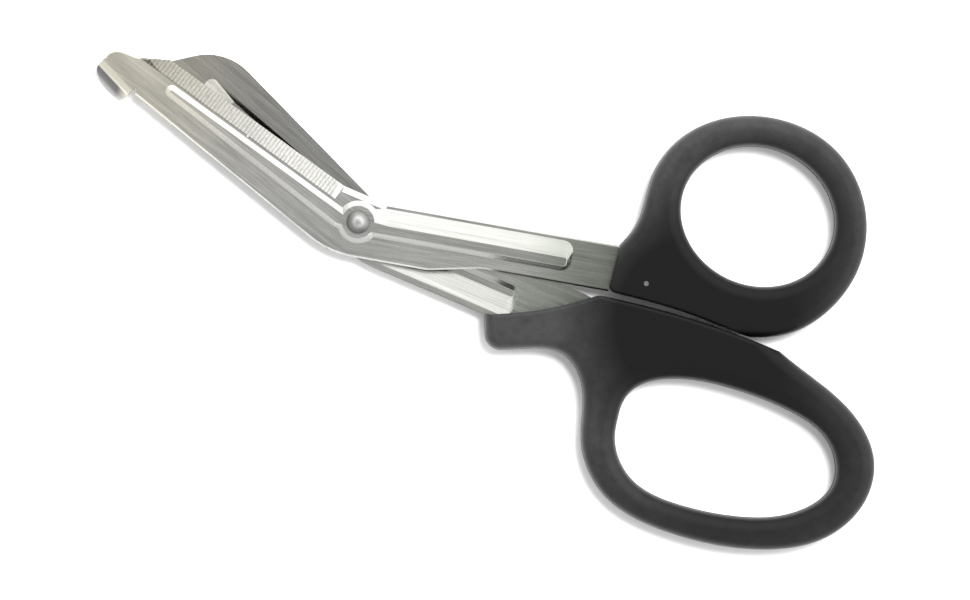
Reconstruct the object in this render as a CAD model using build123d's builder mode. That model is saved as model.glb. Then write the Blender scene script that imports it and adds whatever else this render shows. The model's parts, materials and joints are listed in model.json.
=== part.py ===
from build123d import *
from math import acos, asin, cos, degrees, hypot, radians, sin
import os

# Bandage scissors: two stamped and fluted steel halves on one rivet, with moulded handles.
#
# Sizes are in millimetres and degrees. The scissors lie closed on their back, with the outer
# face of the lower blade up. While the pieces are made, the pivot axis is Z through the origin
# and the blades meet on the XY plane; +X runs to the handles and +Y to the thumb ring. At the
# end everything is moved so that the origin is under the middle of the whole pair.

# Sheet, flute and pivot
sheet = 1.5                  # thickness of the blade steel
blade_play = 0.05            # gap between the two inner faces
flute_height = 0.9           # how far the stamped flute stands out
flute_wall = 1.0             # width of the flute's steep wall, seen from above
crease_land = 0.6            # flat strip between the milled bevel and the flute
crest_round = 0.3            # rounding along the flute's crest
pad_radius = 3.5             # flat pad round the rivet
edge_break = 0.35            # broken edge on the outer face
overrun = 1.0                # how far every cut runs past what it cuts

# Rivet
rivet_radius = 1.6
rivet_head_radius = 2.45
rivet_rim = 0.25             # height of a head's rim
rivet_dome = 1.05            # height of the near head
rivet_peen = 0.7             # height of the far, hammered head
pivot_clearance = 0.03       # between the rivet and each hole, on the radius
head_clearance = 0.04        # between the rivet's heads and the pads

# Lower blade, along and across its own axis from the pivot
lower_slope = 14.7           # the axis climbs this much towards the tip
lower_reach = 64.0           # pivot to the end of the nose
lower_edge_heel = 7.0        # pivot to the start of the cutting edge
lower_edge_stop = 12.0       # its end to the end of the nose
lower_heel_rise = 4.4        # axis to the cutting edge at the heel
lower_tip_rise = 2.4         # axis to the cutting edge at its end
lower_heel_drop = 8.9        # axis to the spine at the heel
lower_tip_drop = 7.9         # axis to the spine at the foot
lower_flute_drop = 4.0       # axis to the flute's edge on the spine side
lower_flute_end = 15.0       # end of the flute to the end of the nose
lower_flute_tip_round = 1.2  # corners of its outline there
lower_crest_tip_round = 0.25

# Milled edge of the lower blade
bevel_width = 3.3
heel_facet = 1.3             # width of the short facet over the rivet
edge_land = 0.35             # steel left at the cutting edge
bevel_run_out = 4.0          # radius on which the bevel leaves the edge
tooth_pitch = 0.8
tooth_depth = 0.14
tooth_width_share = 0.9      # width of a tooth's groove, as a share of the pitch

# Upper blade, along and across its own axis
upper_slope = 17.5
upper_reach = 54.5
upper_edge_heel = 7.0        # pivot to the start of the cutting edge
upper_heel_rise = 5.5        # axis to the spine at the heel
upper_nose_length = 9.5      # belly to the tip
upper_belly_rise = 9.2       # axis to the spine at the belly
upper_belly_round = 12.0
upper_heel_drop = 6.0        # axis to the cutting edge at the heel
upper_tip_drop = 3.8         # axis to the cutting edge at the tip
upper_tip_round = 1.2
upper_flute_rise = 2.9       # axis to the flute's edge on the spine side
upper_flute_end = 11.0       # end of the flute to the tip
upper_scoop = 2.0            # length over which the flute's floor runs out
upper_flute_tip_round = 1.5
upper_crest_tip_round = 0.5

# Shanks, along and across their own axes
lower_shank_slope = 13.4
lower_shank_start = 5.5      # pivot to where its ramp begins
lower_shank_rise = 4.7       # axis to the outer edge
lower_shank_heel_drop = 7.4  # axis to the inner edge at the wide heel
lower_shank_drop = 5.1       # axis to the inner edge beyond it
lower_shank_land = 0.9       # flat strip beside the outer edge
lower_ramp = 3.6             # wide side of the flute
lower_crest = 1.8            # flat top of the flute
lower_shank_flute = 45.5     # pivot to the end of the flute
flare_start = 16.0
flare_end = 27.0
upper_shank_slope = 0.5
upper_shank_drop = 7.6       # axis to the outer edge
upper_shank_rise = 4.7       # axis to the inner edge
upper_shank_land = 1.3
upper_ramp = 4.4
upper_crest = 1.4
upper_shank_flute = 37.0
upper_shank_start = 6.0      # pivot to where its ramp begins
flute_end_wall = 1.0         # length of the flute's wall at its handle end
flute_end_round = 2.2        # corners of its outline there
crest_end_round = 0.6
heel_round = 20.0            # outline radius under the pivot
throat_round = 4.0           # outline radius above the pivot
flare_round = 9.0

# Tangs inside the handles
tang_width = 6.0
tang_length = 18.0
upper_tang_drop = 2.0        # axis to the upper tang's outer edge

# Folded foot
foot_angle = 62.0            # how far the flange is folded down
foot_bend = 0.8              # inner radius of the fold
foot_notch = 0.9             # relief cut beside the fold

# Handles
handle_thickness = 9.0
crown_share = 0.95           # rounding of the grips, as a share of the most that fits
seam_round = 0.8             # crisp edges where the handles meet each other and the steel
lug_round = 3.2              # end of the finger handle's front lug
seam_corner_round = 1.5      # corner between a handle's two seam sides
closing_gap = 0.5            # left between the closed handles
thumb_half_width = 23.7
thumb_half_height = 22.3
thumb_ring_x = 76.5
thumb_hole_half_width = 16.5
thumb_hole_half_height = 14.5
thumb_hole_rise = 1.5        # the hole sits above the ring's middle
finger_half_length = 31.0
finger_half_depth = 22.0
finger_ring_x = 90.0
finger_ring_drop = 11.8      # pivot axis down to the ring's middle

lower_edge_length = lower_reach - lower_edge_stop
lower_flute_length = lower_reach - lower_flute_end
upper_flute_length = upper_reach - upper_flute_end
upper_belly = upper_reach - upper_nose_length
thumb_ring_y = finger_half_depth + closing_gap + thumb_half_height - finger_ring_drop
thumb_band = thumb_half_height - thumb_hole_half_height - thumb_hole_rise

# Nose of the lower blade, as shares of its reach and of its width at the heel
lower_nose_shares = [(0.872, -0.013), (0.915, -0.125), (0.952, -0.175), (0.985, -0.315)]
fold_end_shares = (0.986, -0.445)
fold_heel_shares = (0.849, -0.548)

# Thumb ring, as shares of its half width and half height round its middle. A handle has a seam
# side, where it meets the other handle and the steel, and a grip side. Each runs a little past
# the other where they cross, and goes on as a cover that stays clear of the other side.
thumb_corner_shares = [(-1.02, -0.695), (-0.957, -1.135)]
thumb_seam_shares = [(-0.61, -1.075), (-0.27, -1.03), (0.15, -1.01), (0.9, -0.93)]
thumb_seam_cover_shares = [(1.3, -0.93), (1.3, 1.3), (-1.3, 1.3), (-1.3, -0.3)]
thumb_grip_shares = [
    (0.0, -1.12), (0.43, -0.97), (0.67, -0.82), (0.91, -0.47), (1.0, 0.05), (0.79, 0.62),
    (0.36, 0.95), (-0.1, 1.0), (-0.55, 0.84), (-0.89, 0.48), (-1.0, 0.0), (-0.955, -0.42),
    (-1.02, -0.695), (-1.15, -0.9),
]
thumb_grip_cover_shares = [(-1.35, -1.6), (-0.3, -1.6)]
face_overrun_share = 1.7     # where the blade side's line begins, from its foot over its top

# Finger handle, as shares of its half length and half depth round its middle
finger_slant_shares = [(-2.1, 0.09), (-1.548, 0.445), (-1.21, 0.81)]
finger_seam_shares = [(-0.9, 0.89), (-0.5, 0.965), (-0.12, 1.0), (0.8, 0.93)]
finger_seam_cover_shares = [(1.3, 0.93), (1.3, -1.3), (-2.3, -1.3), (-2.3, 0.09)]
finger_grip_shares = [
    (-0.1, 1.1), (0.35, 0.9), (0.72, 0.715), (0.95, 0.4), (1.0, 0.04), (0.85, -0.45),
    (0.46, -0.81), (-0.15, -1.0), (-0.65, -0.91), (-0.92, -0.55), (-1.08, -0.03),
    (-1.27, 0.16), (-1.52, 0.07),
]
finger_lug_shares = [(-1.77, -0.09), (-1.94, 0.41)]
finger_grip_cover_shares = [(-1.6, 1.3), (-0.5, 1.3)]
finger_hole_shares = [
    (-0.77, -0.13), (-0.74, 0.13), (-0.5, 0.38), (-0.15, 0.5), (0.3, 0.525), (0.6, 0.41),
    (0.755, 0.05), (0.6, -0.34), (0.25, -0.6), (-0.15, -0.72), (-0.55, -0.65), (-0.72, -0.4),
]
finger_band_share = 0.28     # between the hole and the outline at the bottom

handle_round = crown_share * min(
    thumb_band / 2, finger_band_share * finger_half_depth / 2, handle_thickness / 2, lug_round
)


def on_blade(slope, along, across):
    """A plan point, measured along a blade from the pivot to its tip and across it upwards."""
    turn = radians(slope)
    return (-along * cos(turn) + across * sin(turn), along * sin(turn) + across * cos(turn))


def on_shank(slope, along, across):
    """A plan point, measured along a shank from the pivot to the handle and across it upwards."""
    turn = radians(slope)
    return (along * cos(turn) - across * sin(turn), along * sin(turn) + across * cos(turn))


def between(start, end, share):
    """A value part of the way from start to end."""
    return start + (end - start) * share


def crossing(a, b, c, d):
    """The plan point where the line through a and b meets the line through c and d."""
    first = (b[0] - a[0], b[1] - a[1])
    second = (d[0] - c[0], d[1] - c[1])
    apart = (c[0] - a[0], c[1] - a[1])
    turn = first[0] * second[1] - first[1] * second[0]
    share = (apart[0] * second[1] - apart[1] * second[0]) / turn
    return (a[0] + first[0] * share, a[1] + first[1] * share)


def corner(shape, point):
    """The vertex of a sketch that lies at a plan point."""
    return shape.vertices().sort_by_distance((point[0], point[1], 0))[0]


def halfway(a, b):
    """The plan point midway between two others."""
    return (between(a[0], b[0], 0.5), between(a[1], b[1], 0.5))


def nearest(edges, point):
    """The edge that passes nearest to a plan point."""
    return edges.sort_by_distance((point[0], point[1], sheet))[0]


def flute(base, crest, rounds):
    """The stamped flute as a solid, from its outline on the sheet to its flat crest.

    The outlines start with the two corners at the blade's tip, and the fifth and sixth corners
    are at the handle end. The rounds are those of the base and crest at the tip."""
    with BuildPart() as pad:
        with Locations((0, 0, flute_height / 2)):
            Cone(pad_radius + flute_wall, pad_radius, flute_height)
        fillet(pad.faces().sort_by(Axis.Z)[-1].edges(), crest_round)
    with BuildPart() as body:
        for points, height, tip_round, end_round in (
            (base, 0, rounds[0], flute_end_round), (crest, flute_height, rounds[1], crest_end_round)
        ):
            with BuildSketch(Plane.XY.offset(height)) as outline:
                with BuildLine():
                    Polyline(*points, close=True)
                make_face()
                fillet([corner(outline, point) for point in points[:2]], tip_round)
                fillet([corner(outline, point) for point in points[4:6]], end_round)
        loft(ruled=True)
        fillet(body.faces().sort_by(Axis.Z)[-1].edges(), crest_round)
        add(pad.part)
    return body.part


def press(plate, flute_solid):
    """A flat blank with its flute pressed out, hollow behind, and the rivet's hole."""
    with BuildPart() as half:
        add(plate)
        add(flute_solid.moved(Location((0, 0, sheet))))
        add(flute_solid, mode=Mode.SUBTRACT)
        Cylinder(
            rivet_radius + pivot_clearance, 2 * (sheet + flute_height + overrun), mode=Mode.SUBTRACT
        )
    return half.part


# Handle outlines, which the shanks meet
def thumb(share_x, share_y):
    return (thumb_ring_x + share_x * thumb_half_width, thumb_ring_y + share_y * thumb_half_height)


def finger(share_x, share_y):
    return (finger_ring_x + share_x * finger_half_length, share_y * finger_half_depth - finger_ring_drop)


def all_points(ring, shares_list):
    return [ring(*share) for share in shares_list]


face_top, face_foot = all_points(thumb, thumb_corner_shares)
slant_start, slant_middle, slant_top = all_points(finger, finger_slant_shares)


# Lower half
def lower(along, across):
    return on_blade(lower_slope, along, across)


def lower_shank(along, across):
    return on_shank(lower_shank_slope, along, across)


def lower_edge(along):
    """Rise of the lower cutting edge above the blade's axis."""
    return between(lower_heel_rise, lower_tip_rise, along / lower_edge_length)


def meet_face(across):
    """Where a line along the lower shank meets the thumb handle's front face."""
    return crossing(lower_shank(0, across), lower_shank(overrun, across), face_top, face_foot)


lower_width = lower_heel_rise + lower_heel_drop
nose = [lower(x * lower_reach, y * lower_width) for x, y in lower_nose_shares]
fold_end = lower(fold_end_shares[0] * lower_reach, fold_end_shares[1] * lower_width)
fold_heel = lower(fold_heel_shares[0] * lower_reach, fold_heel_shares[1] * lower_width)
notch_along = fold_heel_shares[0] * lower_reach - foot_notch
notch_floor = lower(notch_along + foot_notch / 2, fold_heel_shares[1] * lower_width + foot_notch)
spine_end = lower(notch_along, -lower_tip_drop)
edge_heel = lower(lower_edge_heel, lower_edge(lower_edge_heel))
edge_end = lower(lower_edge_length, lower_tip_rise)
shank_start = lower_shank(lower_shank_start, lower_shank_rise)
flare_top = lower_shank(flare_start, -lower_shank_heel_drop)
flare_foot = lower_shank(flare_end, -lower_shank_drop)
lower_heel = crossing(
    lower(0, -lower_heel_drop), spine_end, lower_shank(0, -lower_shank_heel_drop), flare_top
)
lower_tang_axis = (lower_shank_rise - lower_shank_drop) / 2
tang_top = lower_tang_axis + tang_width / 2
tang_foot = lower_tang_axis - tang_width / 2
lower_tang_end = hypot(*meet_face(lower_tang_axis)) + tang_length

with BuildPart() as lower_blank:
    with BuildSketch() as plan:
        with BuildLine():
            Spline(edge_end, *nose, fold_end)
            Polyline(
                fold_end, fold_heel, notch_floor, spine_end, lower_heel, flare_top, flare_foot,
                meet_face(-lower_shank_drop), meet_face(tang_foot),
                lower_shank(lower_tang_end, tang_foot), lower_shank(lower_tang_end, tang_top),
                meet_face(tang_top), meet_face(lower_shank_rise),
                shank_start, edge_heel, edge_end,
            )
        make_face()
        fillet(corner(plan, lower_heel), heel_round)
        fillet([corner(plan, flare_top), corner(plan, flare_foot)], flare_round)
        fillet([corner(plan, shank_start), corner(plan, edge_heel)], throat_round)
    extrude(amount=sheet)
    rim = lower_blank.faces().sort_by(Axis.Z)[-1].edges()
    rim_points = [halfway(spine_end, lower_heel), halfway(shank_start, face_top), nose[1]]
    chamfer([nearest(rim, point) for point in rim_points], edge_break)

# Its flute: base outline on the sheet and crest outline, corner for corner
base_top = bevel_width + crease_land
ramp_top = lower_shank_rise - lower_shank_land
ramp_foot = ramp_top - lower_ramp
wall_top = ramp_foot - lower_crest


def lower_flute_top(along):
    return lower_edge(along) - base_top


lower_crest_length = lower_flute_length - flute_wall
shank_crest = lower_shank_flute - flute_end_wall
lower_flute = flute(
    base=[
        lower(lower_flute_length, lower_flute_top(lower_flute_length)),
        lower(lower_flute_length, -lower_flute_drop),
        lower(pad_radius, -lower_flute_drop),
        lower_shank(pad_radius / 2, wall_top - flute_wall),
        lower_shank(lower_shank_flute, wall_top - flute_wall),
        lower_shank(lower_shank_flute, ramp_top),
        lower_shank(lower_shank_start, ramp_top),
        lower(pad_radius, lower_flute_top(pad_radius)),
    ],
    crest=[
        lower(lower_crest_length, lower_flute_top(lower_crest_length) - flute_wall),
        lower(lower_crest_length, flute_wall - lower_flute_drop),
        lower(pad_radius, flute_wall - lower_flute_drop),
        lower_shank(pad_radius / 2, wall_top),
        lower_shank(shank_crest, wall_top),
        lower_shank(shank_crest, ramp_foot),
        lower_shank(lower_shank_start + flute_wall, ramp_foot),
        lower(pad_radius, lower_flute_top(pad_radius) - flute_wall),
    ],
    rounds=(lower_flute_tip_round, lower_crest_tip_round),
)
lower_half = press(lower_blank.part, lower_flute)


# Milled edge: the bevel, its teeth, and the short facet over the rivet
def bevel_plane(heel, tip, height):
    """Plane square to an edge at its heel: x inwards over the blade, z along the edge."""
    span = hypot(tip[0] - heel[0], tip[1] - heel[1])
    along = ((tip[0] - heel[0]) / span, (tip[1] - heel[1]) / span)
    return Plane(
        origin=(heel[0], heel[1], height), x_dir=(-along[1], along[0], 0), z_dir=(along[0], along[1], 0)
    )


def grind(half, heel, tip, width, run_out=0):
    """Cut a bevel from the sheet's outer face down to the edge between two plan points.

    Past the tip it may leave the edge on an arc, as the cutter does."""
    drop = (sheet - edge_land) / width * overrun
    length = hypot(tip[0] - heel[0], tip[1] - heel[1])
    plane = bevel_plane(heel, tip, edge_land)
    with BuildPart() as ground:
        add(half)
        with BuildSketch(plane) as section:
            with BuildLine():
                Polyline(
                    (-overrun, -drop), (width, sheet - edge_land),
                    (width, sheet + overrun), (-overrun, sheet + overrun), close=True,
                )
            make_face()
        extrude(amount=length, mode=Mode.SUBTRACT)
        if run_out > 0:
            exit_turn = degrees(acos(run_out / (run_out + width)))
            turning = Axis(Vector(*tip, 0) - plane.x_dir * run_out, (0, 0, -1))
            end_section = section.sketch.moved(Location(plane.z_dir * length))
            revolve(end_section.faces(), axis=turning, revolution_arc=exit_turn, mode=Mode.SUBTRACT)
    return ground.part


def mill_teeth(half, heel, tip):
    """Fine grooves straight up the bevel, all along the cutting edge."""
    edge = bevel_plane(heel, tip, edge_land)
    length = hypot(tip[0] - heel[0], tip[1] - heel[1])
    rise = sheet - edge_land
    slant = hypot(bevel_width, rise)
    up_the_bevel = (edge.x_dir * bevel_width + Vector(0, 0, rise)) / slant
    middle = edge.origin + edge.z_dir * (length / 2) - up_the_bevel * overrun
    tooth_half = tooth_width_share * tooth_pitch / 2
    with BuildPart() as milled:
        add(half)
        with BuildSketch(Plane(origin=middle, x_dir=edge.z_dir, z_dir=up_the_bevel)):
            with GridLocations(tooth_pitch, 0, int(length / tooth_pitch), 1):
                with BuildLine():
                    Polyline(
                        (-tooth_half, -overrun / 2), (tooth_half, -overrun / 2), (tooth_half, 0),
                        (0, tooth_depth), (-tooth_half, 0), close=True,
                    )
                make_face()
        extrude(amount=overrun + slant * (1 + crease_land / bevel_width / 2), mode=Mode.SUBTRACT)
    return milled.part


# Folded foot: a sector of bent sheet along the fold, then a flange with a round lower edge
fold_length = hypot(fold_end[0] - fold_heel[0], fold_end[1] - fold_heel[1])
fold_x = Vector(fold_heel[0] - fold_end[0], fold_heel[1] - fold_end[1], 0) / fold_length
fold_out = Vector(fold_x.Y, -fold_x.X, 0)
fold_middle = Vector((fold_heel[0] + fold_end[0]) / 2, (fold_heel[1] + fold_end[1]) / 2, 0)
fold_centre = fold_middle - Vector(0, 0, foot_bend)
foot_up = Vector(0, 0, cos(radians(foot_angle))) + fold_out * sin(radians(foot_angle))
foot_fall = handle_thickness / 2 + blade_play / 2 - foot_bend * (1 - cos(radians(foot_angle)))
foot_length = foot_fall / sin(radians(foot_angle))

ground_half = grind(lower_half, edge_heel, edge_end, bevel_width, bevel_run_out)
ground_half = grind(ground_half, shank_start, edge_heel, heel_facet)
with BuildPart() as lower_blade:
    add(mill_teeth(ground_half, edge_heel, edge_end))
    with BuildSketch(Plane(origin=fold_middle, x_dir=fold_x, z_dir=fold_out)):
        with Locations((0, sheet / 2)):
            Rectangle(fold_length, sheet)
    revolve(axis=Axis(fold_centre, fold_x), revolution_arc=foot_angle)
    with BuildSketch(Plane(origin=fold_centre + foot_up * foot_bend, x_dir=fold_x, z_dir=foot_up)):
        with BuildLine():
            ThreePointArc((-fold_length / 2, 0), (0, -foot_length), (fold_length / 2, 0))
            Line((fold_length / 2, 0), (-fold_length / 2, 0))
        make_face()
    extrude(amount=sheet)
lower_blade.part = lower_blade.part.moved(Location((0, 0, blade_play / 2)))


# Upper half, made like the lower one with its outer face up and then turned over
def upper(along, across):
    return on_blade(upper_slope, along, across)


def upper_shank(along, across):
    return on_shank(upper_shank_slope, along, across)


def upper_edge(along):
    """Drop of the upper cutting edge below the blade's axis."""
    return between(upper_heel_drop, upper_tip_drop, along / upper_reach)


upper_tip = upper(upper_reach, -upper_tip_drop)
upper_belly_point = upper(upper_belly, upper_belly_rise)
upper_edge_start = upper(upper_edge_heel, -upper_edge(upper_edge_heel))
upper_heel = crossing(
    upper_tip, upper_edge_start,
    upper_shank(0, -upper_shank_drop), upper_shank(overrun, -upper_shank_drop),
)
upper_throat = crossing(
    upper_belly_point, upper(0, upper_heel_rise),
    upper_shank(0, upper_shank_rise), upper_shank(overrun, upper_shank_rise),
)
upper_shoulder = hypot(*slant_middle)
upper_tang_start = hypot(*slant_top)
upper_tang_end = upper_tang_start + tang_length
upper_tang_top = tang_width - upper_tang_drop

with BuildPart() as upper_blank:
    with BuildSketch() as plan:
        with BuildLine():
            Polyline(
                upper_tip, upper_heel,
                upper_shank(upper_shoulder, -upper_shank_drop),
                upper_shank(upper_tang_start, -upper_tang_drop),
                upper_shank(upper_tang_end, -upper_tang_drop),
                upper_shank(upper_tang_end, upper_tang_top),
                upper_shank(upper_tang_start + tang_width / 2, upper_tang_top),
                upper_shank(upper_tang_start - tang_width / 2, upper_shank_rise),
                upper_throat, upper_belly_point, close=True,
            )
        make_face()
        fillet(corner(plan, upper_belly_point), upper_belly_round)
        fillet(corner(plan, upper_tip), upper_tip_round)
        fillet(corner(plan, upper_heel), heel_round)
        fillet(corner(plan, upper_throat), throat_round)
    extrude(amount=sheet)
    rim = upper_blank.faces().sort_by(Axis.Z)[-1].edges()
    chamfer(nearest(rim, halfway(upper_throat, upper_belly_point)), edge_break)

upper_ramp_top = upper_shank_drop - upper_shank_land
upper_ramp_foot = upper_ramp_top - upper_ramp
upper_wall_top = upper_ramp_foot - upper_crest


def upper_flute_foot(along):
    return base_top - upper_edge(along)


upper_crest_length = upper_flute_length - upper_scoop
upper_shank_crest = upper_shank_flute - flute_end_wall
upper_flute = flute(
    base=[
        upper(upper_flute_length, upper_flute_foot(upper_flute_length)),
        upper(upper_flute_length, upper_flute_rise),
        upper(pad_radius, upper_flute_rise),
        upper_shank(pad_radius, flute_wall - upper_wall_top),
        upper_shank(upper_shank_flute, flute_wall - upper_wall_top),
        upper_shank(upper_shank_flute, -upper_ramp_top),
        upper_shank(upper_shank_start, -upper_ramp_top),
        upper(pad_radius, upper_flute_foot(pad_radius)),
    ],
    crest=[
        upper(upper_crest_length, upper_flute_foot(upper_crest_length) + flute_wall),
        upper(upper_crest_length, upper_flute_rise - flute_wall),
        upper(pad_radius, upper_flute_rise - flute_wall),
        upper_shank(pad_radius, -upper_wall_top),
        upper_shank(upper_shank_crest, -upper_wall_top),
        upper_shank(upper_shank_crest, -upper_ramp_foot),
        upper_shank(upper_shank_start + flute_wall, -upper_ramp_foot),
        upper(pad_radius, upper_flute_foot(pad_radius) + flute_wall),
    ],
    rounds=(upper_flute_tip_round, upper_crest_tip_round),
)
upper_half = grind(press(upper_blank.part, upper_flute), upper_tip, upper_edge_start, bevel_width)
with BuildPart() as upper_blade:
    add(upper_half.moved(Location((0, 0, blade_play / 2))).mirror(Plane.XY))


# Pivot rivet: a plain shank, a domed near head and a flatter hammered far head
head_seat = blade_play / 2 + sheet + flute_height + head_clearance


def dome_arc(radius, start, rise):
    """A half arc from the rim of a head at start to its crown on the axis."""
    ball = (radius ** 2 + rise ** 2) / (2 * rise)
    half_turn = asin(radius / ball) / 2
    middle = (ball * sin(half_turn), start + rise - ball * (1 - cos(half_turn)))
    return ThreePointArc((radius, start), middle, (0, start + rise))


def rivet_head(rise):
    """A domed head of that height, standing on the near pad."""
    rim_top = head_seat + rivet_rim
    with BuildPart() as head:
        with BuildSketch(Plane.XZ):
            with BuildLine():
                Polyline(
                    (0, head_seat + rise), (0, head_seat),
                    (rivet_head_radius, head_seat), (rivet_head_radius, rim_top),
                )
                dome_arc(rivet_head_radius, rim_top, rise - rivet_rim)
            make_face()
        revolve(axis=Axis.Z)
    return head.part


with BuildPart() as pivot_rivet:
    add(rivet_head(rivet_dome))
    add(rivet_head(rivet_peen).mirror(Plane.XY))
    Cylinder(rivet_radius, 2 * head_seat)

# Handles, moulded over the tangs, so each is cut by the half that it holds
def moulding(grip_side, seam_side, half):
    """A handle over its half, with broad rounding on the grip side and crisp seam edges.

    It is what two slabs share: one is right on the grip side and one on the seam side."""
    slabs = []
    for side, rounding in ((grip_side, handle_round), (seam_side, seam_round)):
        with BuildPart() as slab:
            add(side)
            extrude(amount=handle_thickness / 2, both=True)
            fillet(slab.faces().filter_by(Axis.Z).edges(), rounding)
        slabs.append(slab.part)
    with BuildPart() as handle:
        add(slabs[0])
        add(slabs[1], mode=Mode.INTERSECT)
        add(half, mode=Mode.SUBTRACT)
    return handle.part


face_start = tuple(between(face_foot[axis], face_top[axis], face_overrun_share) for axis in (0, 1))
with BuildSketch() as thumb_seam_side:
    with BuildLine():
        seam = all_points(thumb, thumb_seam_shares)
        Line(face_start, face_foot)
        Spline(face_foot, *seam)
        Polyline(seam[-1], *all_points(thumb, thumb_seam_cover_shares), face_start)
    make_face()
    fillet(corner(thumb_seam_side, face_foot), seam_corner_round)
with BuildSketch() as thumb_grip_side:
    with BuildLine():
        grip = all_points(thumb, thumb_grip_shares)
        Spline(*grip)
        Polyline(grip[-1], *all_points(thumb, thumb_grip_cover_shares), grip[0])
    make_face()
    with Locations((thumb_ring_x, thumb_ring_y + thumb_hole_rise)):
        Ellipse(thumb_hole_half_width, thumb_hole_half_height, mode=Mode.SUBTRACT)
with BuildPart() as thumb_handle:
    add(moulding(thumb_grip_side.sketch, thumb_seam_side.sketch, lower_blade.part))

with BuildSketch() as finger_seam_side:
    with BuildLine():
        seam = all_points(finger, finger_seam_shares)
        ThreePointArc(slant_start, slant_middle, slant_top)
        Spline(slant_top, *seam)
        Polyline(seam[-1], *all_points(finger, finger_seam_cover_shares), slant_start)
    make_face()
    fillet(corner(finger_seam_side, slant_top), seam_corner_round)
with BuildSketch() as finger_grip_side:
    with BuildLine():
        grip = all_points(finger, finger_grip_shares)
        lug_corner, lug_top = all_points(finger, finger_lug_shares)
        Spline(*grip, lug_corner)
        Polyline(lug_corner, lug_top, *all_points(finger, finger_grip_cover_shares), grip[0])
    make_face()
    fillet(corner(finger_grip_side, lug_corner), lug_round)
    with BuildLine():
        Spline(*all_points(finger, finger_hole_shares), periodic=True)
    make_face(mode=Mode.SUBTRACT)
with BuildPart() as finger_handle:
    add(moulding(finger_grip_side.sketch, finger_seam_side.sketch, upper_blade.part))

# The origin goes under the middle of the closed scissors, on the surface that they lie on
pieces = [lower_blade, upper_blade, pivot_rivet, thumb_handle, finger_handle]
whole = Compound([piece.part for piece in pieces]).bounding_box()
placing = Location((-whole.center().X, -whole.center().Y, -whole.min.Z))
for piece in pieces:
    piece.part = piece.part.moved(placing)

lower_blade.part.label = "lower_blade"
upper_blade.part.label = "upper_blade"
pivot_rivet.part.label = "pivot_rivet"
thumb_handle.part.label = "thumb_handle"
finger_handle.part.label = "finger_handle"

os.makedirs("parts", exist_ok=True)
export_step(lower_blade.part, "parts/lower_blade.step")
export_step(upper_blade.part, "parts/upper_blade.step")
export_step(pivot_rivet.part, "parts/pivot_rivet.step")
export_step(thumb_handle.part, "parts/thumb_handle.step")
export_step(finger_handle.part, "parts/finger_handle.step")

print("pivot at", placing.position)
print("size", whole.size)
for piece in pieces:
    print(piece.part.label, piece.part.volume, piece.part.is_valid)
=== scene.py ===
# %% [markdown]
# # Bandage scissors, seen from straight above
#
# The real scissors are five pieces: two stamped and fluted steel halves, the domed rivet that
# they turn on, and two moulded handles. The frame below brings them in at their real size, in
# metres. This script gives them their finish, the small marks of how they were made, a pale
# table, studio light and a camera.

# %% The frame
import json
import math

import bpy
import bmesh
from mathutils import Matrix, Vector


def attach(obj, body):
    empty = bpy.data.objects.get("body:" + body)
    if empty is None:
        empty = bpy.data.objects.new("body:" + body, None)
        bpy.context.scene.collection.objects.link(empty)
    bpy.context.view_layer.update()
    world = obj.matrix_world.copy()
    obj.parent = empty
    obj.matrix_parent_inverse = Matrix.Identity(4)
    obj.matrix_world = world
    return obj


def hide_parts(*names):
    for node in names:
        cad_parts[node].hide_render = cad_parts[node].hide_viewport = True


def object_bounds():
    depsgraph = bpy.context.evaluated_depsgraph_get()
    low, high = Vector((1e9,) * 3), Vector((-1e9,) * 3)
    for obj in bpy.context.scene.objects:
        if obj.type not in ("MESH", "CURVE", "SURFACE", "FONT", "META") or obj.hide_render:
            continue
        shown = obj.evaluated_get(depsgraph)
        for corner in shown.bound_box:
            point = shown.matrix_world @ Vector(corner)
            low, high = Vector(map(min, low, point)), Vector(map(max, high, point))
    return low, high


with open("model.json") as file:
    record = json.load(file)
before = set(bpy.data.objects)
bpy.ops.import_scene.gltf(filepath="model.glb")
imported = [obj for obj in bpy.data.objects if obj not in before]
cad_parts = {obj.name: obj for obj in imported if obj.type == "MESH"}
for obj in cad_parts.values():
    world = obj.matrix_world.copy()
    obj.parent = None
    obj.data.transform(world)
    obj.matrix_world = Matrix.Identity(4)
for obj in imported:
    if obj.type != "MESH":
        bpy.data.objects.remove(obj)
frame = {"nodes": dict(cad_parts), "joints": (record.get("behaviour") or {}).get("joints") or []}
cad_low, cad_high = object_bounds()
MM = 0.001
nodes = frame["nodes"]
pivot = Vector(frame["joints"][0]["pos_m"])
print("pieces:", sorted(nodes), "pivot:", [round(x / MM, 2) for x in pivot])

# %% [markdown]
# ## Small helpers for materials
#
# A material is a chain of nodes. It could be drawn by hand in the shader editor, but a script
# builds the same chain each time and can be read like a recipe. These helpers add a node, give
# an input socket a link or a plain value, and start a material.

# %% Node helpers


def add_node(tree, kind, **inputs):
    """A new node, with constants set on the sockets that are named."""
    node = tree.nodes.new(kind)
    for name, value in inputs.items():
        node.inputs[name.replace("_", " ")].default_value = value
    return node


def join(tree, source, target):
    """A link from an output socket to an input socket, or a plain value set on the input."""
    if isinstance(source, bpy.types.NodeSocket):
        tree.links.new(source, target)
    else:
        target.default_value = source


def new_material(name):
    """A material with a plain shader, and the tree that the caller fills."""
    material = bpy.data.materials.new(name)
    material.use_nodes = True
    tree = material.node_tree
    return material, tree, tree.nodes["Principled BSDF"]


def object_coordinates(tree):
    """Places on a piece, in metres. They stay on the piece when its body moves."""
    return add_node(tree, "ShaderNodeTexCoord").outputs["Object"]


# %% [markdown]
# Most nodes only work out a number. Each of the next helpers stands for one of them, takes
# sockets or plain values, and gives back the socket that holds the result.

# %% Helpers for numbers


def in_use(sockets):
    """The sockets that a node's settings leave in use."""
    return [put for put in sockets if put.enabled]


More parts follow.
